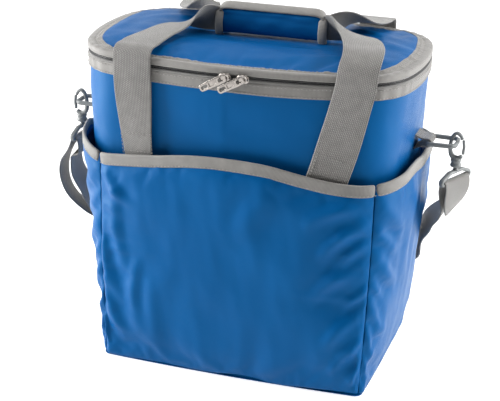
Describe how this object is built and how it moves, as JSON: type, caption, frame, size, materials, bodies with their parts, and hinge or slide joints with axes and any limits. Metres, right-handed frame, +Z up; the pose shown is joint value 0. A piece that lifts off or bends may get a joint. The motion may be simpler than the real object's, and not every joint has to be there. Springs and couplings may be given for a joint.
{
  "type": "insulated cooler bag",
  "caption": "Soft insulated cooler bag with zipped lid, wrap-round pockets, paired webbing handles in a padded grip and a clip-on shoulder strap.",
  "frame": {"origin": "centre of the base, on the floor plane", "axes": "+Z up, +Y towards the back, +X to the right seen from the front"},
  "size_m": [0.4143, 0.2162, 0.3444],
  "materials": {
    "coated_cloth": "satin coated polyester oxford",
    "foam": "closed cell polyethylene foam",
    "liner": "silver heat-sealed liner film",
    "board": "stiff base board",
    "binding": "grosgrain edge binding and zip tape",
    "zip_coil": "nylon coil zip",
    "webbing": "ribbed polyester webbing",
    "zip_metal": "nickel plated zinc",
    "hardware": "moulded acetal, light grey"
  },
  "bodies": {
    "bag": {"outer_front_panel": "coated_cloth", "outer_back_panel": "coated_cloth", "outer_left_panel": "coated_cloth", "outer_right_panel": "coated_cloth", "outer_base_panel": "coated_cloth", "foam_front_wall": "foam", "foam_back_wall": "foam", "foam_left_wall": "foam", "foam_right_wall": "foam", "foam_base": "foam", "liner_tub": "liner", "base_board": "board", "pocket_front_panel": "coated_cloth", "pocket_left_panel": "coated_cloth", "pocket_right_panel": "coated_cloth", "pocket_front_binding": "binding", "pocket_left_binding": "binding", "pocket_right_binding": "binding", "rim_binding": "binding", "zip_tape_lower": "binding", "zip_coil_lower": "zip_coil", "lid_hinge_strip": "binding", "front_handle_leg_left": "webbing", "front_handle_leg_right": "webbing", "rear_handle_leg_left": "webbing", "rear_handle_leg_right": "webbing", "ring_tab_left": "webbing", "ring_tab_right": "webbing", "d_ring_left": "hardware", "d_ring_right": "hardware"},
    "lid": {"lid_panel": "coated_cloth", "lid_foam": "foam", "lid_liner": "liner", "lid_binding": "binding", "zip_tape_upper": "binding", "zip_coil_upper": "zip_coil"},
    "front_handle": {"front_handle_strap": "webbing"},
    "rear_handle": {"rear_handle_strap": "webbing", "grip_back_pad": "coated_cloth"},
    "grip_flap": {"grip_front_pad": "coated_cloth", "grip_hook_strip": "binding", "grip_loop_strip": "binding"},
    "slider_left": {"zip_slider_left": "zip_metal"},
    "slider_right": {"zip_slider_right": "zip_metal"},
    "pull_left": {"pull_tab_left": "zip_metal"},
    "pull_right": {"pull_tab_right": "zip_metal"},
    "strap": {"shoulder_strap": "webbing", "strap_frame_left": "hardware", "strap_frame_right": "hardware"},
    "hook_left": {"snap_hook_left": "hardware"},
    "hook_right": {"snap_hook_right": "hardware"},
    "gate_left": {"hook_gate_left": "hardware"},
    "gate_right": {"hook_gate_right": "hardware"},
    "adjuster": {"strap_adjuster": "hardware"}
  },
  "joints": [
    {"name": "lid_hinge", "type": "hinge", "parent": "bag", "child": "lid", "pos_m": [0, 0.086, 0.3104], "axis": [-1, 0, 0], "range_deg": [0, 105]},
    {"name": "front_handle_swing", "type": "hinge", "parent": "bag", "child": "front_handle", "pos_m": [0, -0.1009, 0.3135], "axis": [1, 0, 0], "range_deg": [0, 210], "deforming": ["front_handle_strap"]},
    {"name": "rear_handle_swing", "type": "hinge", "parent": "bag", "child": "rear_handle", "pos_m": [0, 0.0859, 0.3135], "axis": [-1, 0, 0], "range_deg": [0, 210]},
    {"name": "grip_flap_swing", "type": "hinge", "parent": "rear_handle", "child": "grip_flap", "pos_m": [0.012, -0.003, 0.3442], "axis": [-1, 0, 0], "range_deg": [0, 150]},
    {"name": "slider_left_travel", "type": "hinge", "parent": "bag", "child": "slider_left", "pos_m": [0, 0.46, 0.3029], "axis": [0, 0, 1], "range_deg": [-4.5, 0]},
    {"name": "slider_right_travel", "type": "hinge", "parent": "bag", "child": "slider_right", "pos_m": [0, 0.46, 0.3029], "axis": [0, 0, 1], "range_deg": [0, 4.5]},
    {"name": "pull_left_swing", "type": "hinge", "parent": "slider_left", "child": "pull_left", "pos_m": [0, -0.1051, 0.3029], "axis": [-0.4848, 0, 0.8746], "range_deg": [0, 140]},
    {"name": "pull_right_swing", "type": "hinge", "parent": "slider_right", "child": "pull_right", "pos_m": [0.017, -0.1051, 0.3029], "axis": [-0.4848, 0, 0.8746], "range_deg": [0, 140]},
    {"name": "strap_swing", "type": "hinge", "parent": "bag", "child": "strap", "pos_m": [0, 0, 0.229], "axis": [1, 0, 0], "range_deg": [0, 45]},
    {"name": "hook_left_turn", "type": "hinge", "parent": "strap", "child": "hook_left", "pos_m": [-0.191, 0, 0.21], "axis": [0, 0, 1], "range_deg": [-25, 25]},
    {"name": "hook_right_turn", "type": "hinge", "parent": "strap", "child": "hook_right", "pos_m": [0.191, 0, 0.21], "axis": [0, 0, 1], "range_deg": [-25, 25]},
    {"name": "gate_left_press", "type": "hinge", "parent": "hook_left", "child": "gate_left", "pos_m": [-0.1972, 0, 0.2216], "axis": [0, 1, 0], "range_deg": [0, 12], "stiffness_Nm_per_rad": 0.02, "springref_deg": -28.65},
    {"name": "gate_right_press", "type": "hinge", "parent": "hook_right", "child": "gate_right", "pos_m": [0.1972, 0, 0.2216], "axis": [0, -1, 0], "range_deg": [0, 12], "stiffness_Nm_per_rad": 0.02, "springref_deg": -28.65},
    {"name": "adjuster_slide", "type": "slide", "parent": "strap", "child": "adjuster", "axis": [1, 0, 0], "range_m": [-0.09, 0.035]}
  ],
  "couplings": [
    {"joint": "front_handle_swing", "follows": "lid_hinge", "ratio": 2},
    {"joint": "rear_handle_swing", "follows": "lid_hinge", "ratio": 2},
    {"joint": "grip_flap_swing", "follows": "lid_hinge", "ratio": 1.4}
  ]
}
